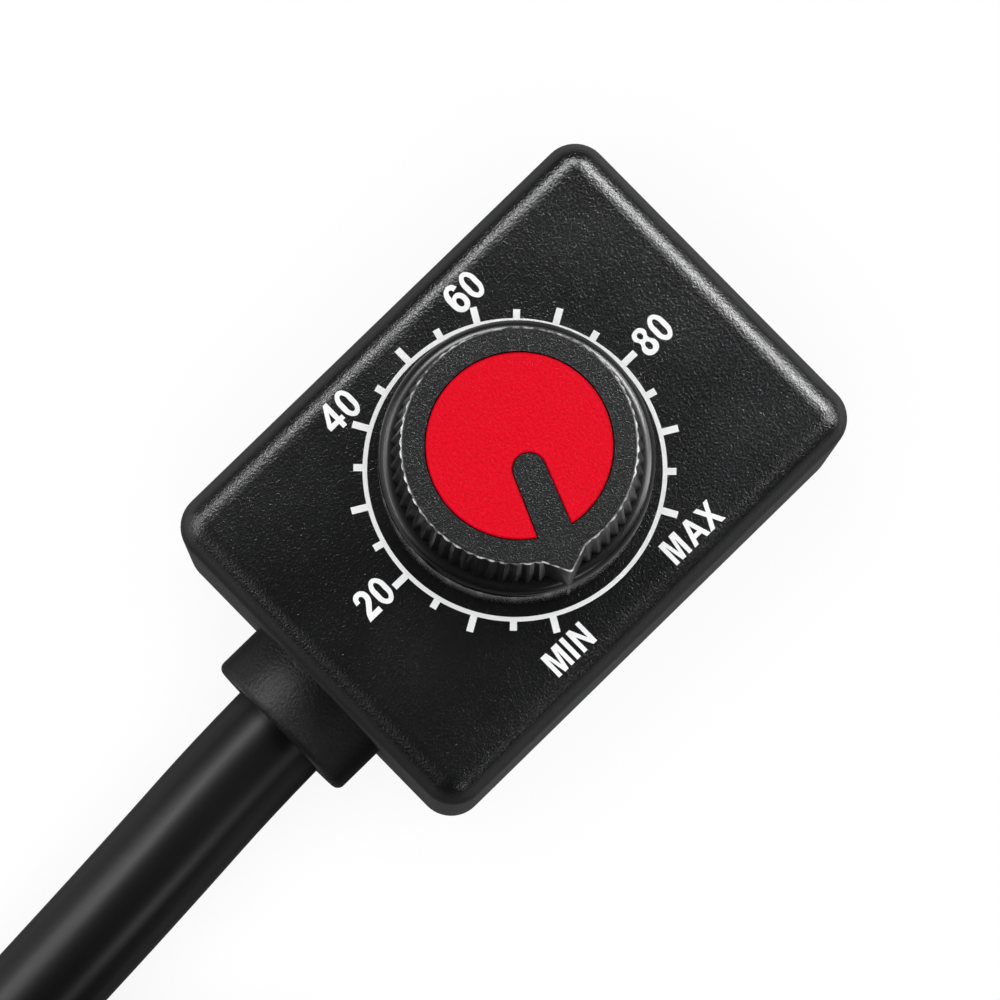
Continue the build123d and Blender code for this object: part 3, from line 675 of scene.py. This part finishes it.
# %% Cap paint
# the darker red is painted shade in the grain's hollows
cap_painted_hollow_shade = screen_colour(220, 2, 27)
cap_crest_red = screen_colour(238, 8, 38)
cap_grain_size, cap_grain_depth = 0.16 * mm, 0.04 * mm

cap_paint, cap_shader = new_paint(
    "cap_red", screen_colour(228, 6, 32), roughness=0.34, Specular_IOR_Level=0.02
)
cap_grain = noise(cap_paint, cap_grain_size, distortion=0.6)
emboss(cap_paint, cap_shader, cap_grain, cap_grain_depth)
# painted shade: the grain's hollows get the darker red
tint(cap_paint, cap_shader, spread(cap_paint, cap_grain, 0.0, 1.0), cap_painted_hollow_shade, cap_crest_red)
apply_paint(cap_paint, "knob_cap")
print("cap painted")

# %% [markdown]
# ## Jacket and cores
#
# The cable's jacket is smooth extruded PVC. Its crown keeps a soft gloss and its flanks are rubbed
# matt. A height could not tell them apart on a cable that falls and climbs, so each point carries a
# number of its own, one minus the upward part of its normal, and the material reads it. The cores'
# insulation is thinner and brighter.

# %% Jacket and insulation
crown_roughness, flank_roughness = 0.36, 1.0
flank_start, flank_end = 0.25, 0.75
ripple_share, ripple_depth = 0.4, 0.01 * mm
core_roughness, core_ripple, core_specular = 0.38, 1.5 * mm, 0.4


def extruded_plastic(name, dark, light, roughness, ripple, specular):
    """Smooth insulation with a faint waviness along it."""
    dark, light = screen_colour(*dark), screen_colour(*light)
    paint, shader = new_paint(name, dark, roughness, Specular_IOR_Level=specular)
    waves = noise(paint, ripple)
    tint(paint, shader, waves, dark, light)
    emboss(paint, shader, noise(paint, ripple_share * ripple), ripple_depth, strength=0.5)
    return paint, shader


jacket_paint, jacket_shader = extruded_plastic(
    "cable_jacket", (4, 4, 4), (7, 7, 7), crown_roughness, ripple=3.0 * mm, specular=0.12
)
flank = cable.data.attributes.new("flank", "FLOAT", "POINT")
for vertex in cable.data.vertices:
    flank.data[vertex.index].value = 1.0 - vertex.normal.z
rubbed = jacket_paint.node_tree.nodes.new("ShaderNodeAttribute")
rubbed.attribute_name = "flank"
jacket_roughness = spread(
    jacket_paint, rubbed.outputs["Fac"], crown_roughness, flank_roughness, flank_start, flank_end
)
jacket_paint.node_tree.links.new(jacket_roughness, jacket_shader.inputs["Roughness"])
apply_paint(jacket_paint, "cable")
core_colours = {
    "purple": ((112, 62, 140), (122, 70, 150)),
    "grey": ((138, 140, 142), (148, 150, 152)),
}
for colour, (dark, light) in core_colours.items():
    paint, shader = extruded_plastic(
        colour + "_insulation", dark, light, core_roughness, core_ripple, core_specular
    )
    apply_paint(paint, "tail_" + colour + "_wire", "core_" + colour)
print("jacket and cores painted")

# %% [markdown]
# ## Ink
#
# The ink is flat white, with the faint mottle of a pad print. A plain white would do from afar, but
# close up the print would look cut out of paper, so two noises vary its tone and its surface.

# %% Ink
ink_dull, ink_bright = screen_colour(250, 250, 250), screen_colour(254, 254, 254)
ink_mottle_size, ink_bump_size, ink_bump_depth = 0.3 * mm, 0.26 * mm, 0.01 * mm

ink_paint, ink_shader = new_paint(
    "dial_ink", screen_colour(252, 252, 252), roughness=0.6, Specular_IOR_Level=0.3
)
ink_mottle = noise(ink_paint, ink_mottle_size)
tint(ink_paint, ink_shader, ink_mottle, ink_dull, ink_bright)
emboss(ink_paint, ink_shader, noise(ink_paint, ink_bump_size), ink_bump_depth)
ink_names = ["dial_ring", "dial_ticks"] + [label.name for label in dial_labels]
apply_paint(ink_paint, *ink_names)
print("ink on", len(ink_names), "pieces")

# %% [markdown]
# ## Metals
#
# Screws, potentiometer, clip and terminals are metal: full metallic value, a colour for each alloy,
# and roughness that changes with fine scratches. The scratches could be modelled, but they are
# finer than a hair, so stretched noise gives them. A table holds what differs from alloy to alloy.

# %% Metals
scratch_depth = 0.004 * mm
turned = (1.0, 1.0, 6.0)
rolled = (1.0, 8.0, 1.0)
even = (1.0, 1.0, 1.0)


def worn_metal(name, colour, roughness, scratch, stretch):
    """Plated or turned metal with fine scratches."""
    paint, shader = new_paint(name, colour, roughness[0], Metallic=1.0)
    scratches = noise(paint, scratch, detail=4.0, stretch=stretch)
    paint.node_tree.links.new(spread(paint, scratches, *roughness), shader.inputs["Roughness"])
    emboss(paint, shader, scratches, scratch_depth)
    return paint


metals = {
    # name: colour, roughness from and to, size of scratches, their stretch, pieces
    "screw_steel": ((176, 176, 172), (0.25, 0.42), 0.5 * mm, even, ["cover_screws"]),
    "bush_zinc": ((186, 186, 184), (0.30, 0.45), 0.6 * mm, even, ["pot_bush"]),
    "plated_steel": (
        (196, 196, 192),
        (0.20, 0.36),
        0.6 * mm,
        rolled,
        ["pot_can", "pot_nut", "pot_washer", "shaft_clip"],
    ),
    "shaft_alloy": ((206, 207, 208), (0.22, 0.38), 0.5 * mm, turned, ["pot_shaft"]),
    "terminal_brass": ((206, 180, 112), (0.25, 0.4), 0.5 * mm, rolled, ["pot_terminals"]),
    "wiper_bronze": ((198, 142, 92), (0.25, 0.4), 0.4 * mm, rolled, ["pot_wiper"]),
    "tinned_copper": ((198, 196, 190), (0.28, 0.45), 0.3 * mm, even, ["tail_ends"]),
}
for name, (colour, roughness, scratch, stretch, pieces) in metals.items():
    paint = worn_metal(name, screen_colour(*colour), roughness, scratch, stretch)
    apply_paint(paint, *pieces)
print("metals", list(metals))

# %% [markdown]
# ## Plastics inside and on the coil
#
# The wafer is brown laminate, the rotor and sleeves are plain plastics, and the tie is nylon. They
# could be plain colours, as they are small, but the same mottle in tone and surface keeps them from
# looking drawn.

# %% Plastics
mottle_depth = 0.01 * mm


def plain_plastic(name, dark, light, roughness, feature):
    """Moulded plastic or laminate with a slight mottle."""
    paint, shader = new_paint(name, dark, roughness)
    mottle = noise(paint, feature, detail=4.0)
    tint(paint, shader, mottle, dark, light)
    emboss(paint, shader, mottle, mottle_depth)
    return paint


plastics = {
    # name: dark, light, roughness, size of the mottle, piece
    "laminate": ((104, 66, 34), (126, 82, 44), 0.5, 0.8 * mm, "pot_wafer"),
    "rotor_plastic": ((214, 208, 194), (224, 218, 206), 0.5, 1.0 * mm, "pot_rotor"),
    "sleeve_black": ((20, 20, 20), (28, 28, 28), 0.5, 1.0 * mm, "solder_sleeves"),
    "tie_nylon": ((22, 22, 22), (30, 30, 30), 0.4, 1.0 * mm, "coil_tie"),
}
for name, (dark, light, roughness, feature, piece) in plastics.items():
    paint = plain_plastic(name, screen_colour(*dark), screen_colour(*light), roughness, feature)
    apply_paint(paint, piece)
print("materials", len(bpy.data.materials))

# %% [markdown]
# ## Ground
#
# The photograph has a plain white ground. A flat plane would show its far edge in a low view, so
# the ground is a disc that curves up into a low wall, made by spinning one profile. It lies a hair
# below the box, so that the two never share a face.

# %% Ground mesh
ground_radius = 3.0
ground_level = -0.05 * mm
wall_height = 0.3
sweep_steps = 96
sweep_corner = 0.25
corner_steps = 12
merge_distance = 1e-6

sweep = bmesh.new()
flat_radius = ground_radius - sweep_corner
ground_outline = [Vector((0.0, 0.0, ground_level)), Vector((flat_radius, 0.0, ground_level))]
for step in range(1, corner_steps + 1):
    turn = pi / 2 * step / corner_steps
    rise = sweep_corner * (1.0 - cos(turn))
    reach = flat_radius + sweep_corner * sin(turn)
    ground_outline.append(Vector((reach, 0.0, ground_level + rise)))
ground_outline.append(Vector((ground_radius, 0.0, wall_height)))
profile = [sweep.verts.new(point) for point in ground_outline]
for start, end in zip(profile, profile[1:]):
    sweep.edges.new((start, end))
spin_round(sweep, sweep_steps)
bmesh.ops.remove_doubles(sweep, verts=sweep.verts, dist=merge_distance)
ground_mesh = bpy.data.meshes.new("ground")
sweep.to_mesh(ground_mesh)
sweep.free()
ground = bpy.data.objects.new("ground", ground_mesh)
scene.collection.objects.link(ground)
print("ground faces", len(ground_mesh.polygons))

# %% [markdown]
# ## Ground paper
#
# More light would make the ground white, but would bleach the object too. So its material adds
# white only to what the camera and mirrors see, and its own dark diffuse part still takes a faint
# shadow.

# %% Ground paint
ground_glow = 0.89
paper_shade = (0.13, 0.13, 0.13, 1.0)

ground_paint = bpy.data.materials.new("ground_paper")
ground_paint.use_nodes = True
tree = ground_paint.node_tree
tree.nodes.clear()
output = tree.nodes.new("ShaderNodeOutputMaterial")
paper = tree.nodes.new("ShaderNodeBsdfDiffuse")
paper.inputs["Color"].default_value = paper_shade
glow = tree.nodes.new("ShaderNodeEmission")
both = tree.nodes.new("ShaderNodeAddShader")
path = tree.nodes.new("ShaderNodeLightPath")
mirror_or_camera = tree.nodes.new("ShaderNodeMath")
mirror_or_camera.operation = "MAXIMUM"
shown = tree.nodes.new("ShaderNodeMath")
shown.operation = "MAXIMUM"
strength = tree.nodes.new("ShaderNodeMath")
strength.operation = "MULTIPLY"
strength.inputs[1].default_value = ground_glow
tree.links.new(path.outputs["Is Camera Ray"], mirror_or_camera.inputs[0])
tree.links.new(path.outputs["Is Glossy Ray"], mirror_or_camera.inputs[1])
tree.links.new(mirror_or_camera.outputs["Value"], shown.inputs[0])
tree.links.new(path.outputs["Is Transmission Ray"], shown.inputs[1])
tree.links.new(shown.outputs["Value"], strength.inputs[0])
tree.links.new(strength.outputs["Value"], glow.inputs["Strength"])
tree.links.new(paper.outputs["BSDF"], both.inputs[0])
tree.links.new(glow.outputs["Emission"], both.inputs[1])
tree.links.new(both.outputs["Shader"], output.inputs["Surface"])
ground_mesh.materials.append(ground_paint)
print("ground nodes", len(tree.nodes))

# %% [markdown]
# ## Light
#
# The photograph has an even level and narrow highlights along the box's rounded edges and round the
# knob. One broad lamp could give the level but no such lines, and bright strips alone would bleach
# the red. So one soft lamp overhead gives the level and isn't seen in reflections, while the strips
# and a panel are seen in reflections alone.

# %% World and lamps
world_tint = (0.9, 0.95, 1.0, 1.0)
world_strength = 0.06
key_distance, strip_distance = 0.50, 0.30

world = bpy.data.worlds.new("studio")
world.use_nodes = True
sky = world.node_tree.nodes["Background"]
sky.inputs["Color"].default_value = world_tint
sky.inputs["Strength"].default_value = world_strength
scene.world = world


def softbox(name, tilt, azimuth, distance, width, height, power):
    """Rectangular area light at a tilt from overhead and an azimuth from +X, aimed at the dial."""
    data = bpy.data.lights.new(name, "AREA")
    data.shape = "RECTANGLE"
    data.size = width
    data.size_y = height
    data.energy = power
    lamp = bpy.data.objects.new(name, data)
    scene.collection.objects.link(lamp)
    tilt = radians(tilt)
    azimuth = radians(azimuth)
    towards = Vector((sin(tilt) * cos(azimuth), sin(tilt) * sin(azimuth), cos(tilt)))
    lamp.location = dial_centre + distance * towards
    lamp.rotation_mode = "QUATERNION"
    lamp.rotation_quaternion = towards.to_track_quat("Z", "Y")
    lamp.visible_camera = False
    return lamp


soft_key = softbox("soft_key", 6.0, -160.0, key_distance, width=0.60, height=0.60, power=3.3)
soft_key.visible_glossy = False
strips = {
    # name: tilt, azimuth, width, height, power
    "right_strip": (44.0, 0.0, 0.16, 0.07, 3.4),
    "back_strip": (43.0, 62.0, 0.16, 0.055, 2.2),
    "cable_strip": (43.0, 114.0, 0.10, 0.05, 0.45),
    "corner_strip": (52.0, -46.0, 0.08, 0.20, 1.3),
    "front_strip": (61.5, -105.0, 0.08, 0.05, 0.2),
    "left_panel": (65.0, 135.0, 0.35, 0.35, 1.0),
    "left_edge": (61.0, 136.0, 0.24, 0.035, 0.6),
    "right_edge": (64.2, -26.0, 0.28, 0.04, 0.7),
}
for name, (tilt, azimuth, width, height, power) in strips.items():
    strip = softbox(name, tilt, azimuth, strip_distance, width, height, power)
    strip.visible_diffuse = False
print("lights", [lamp.name for lamp in bpy.data.lights])
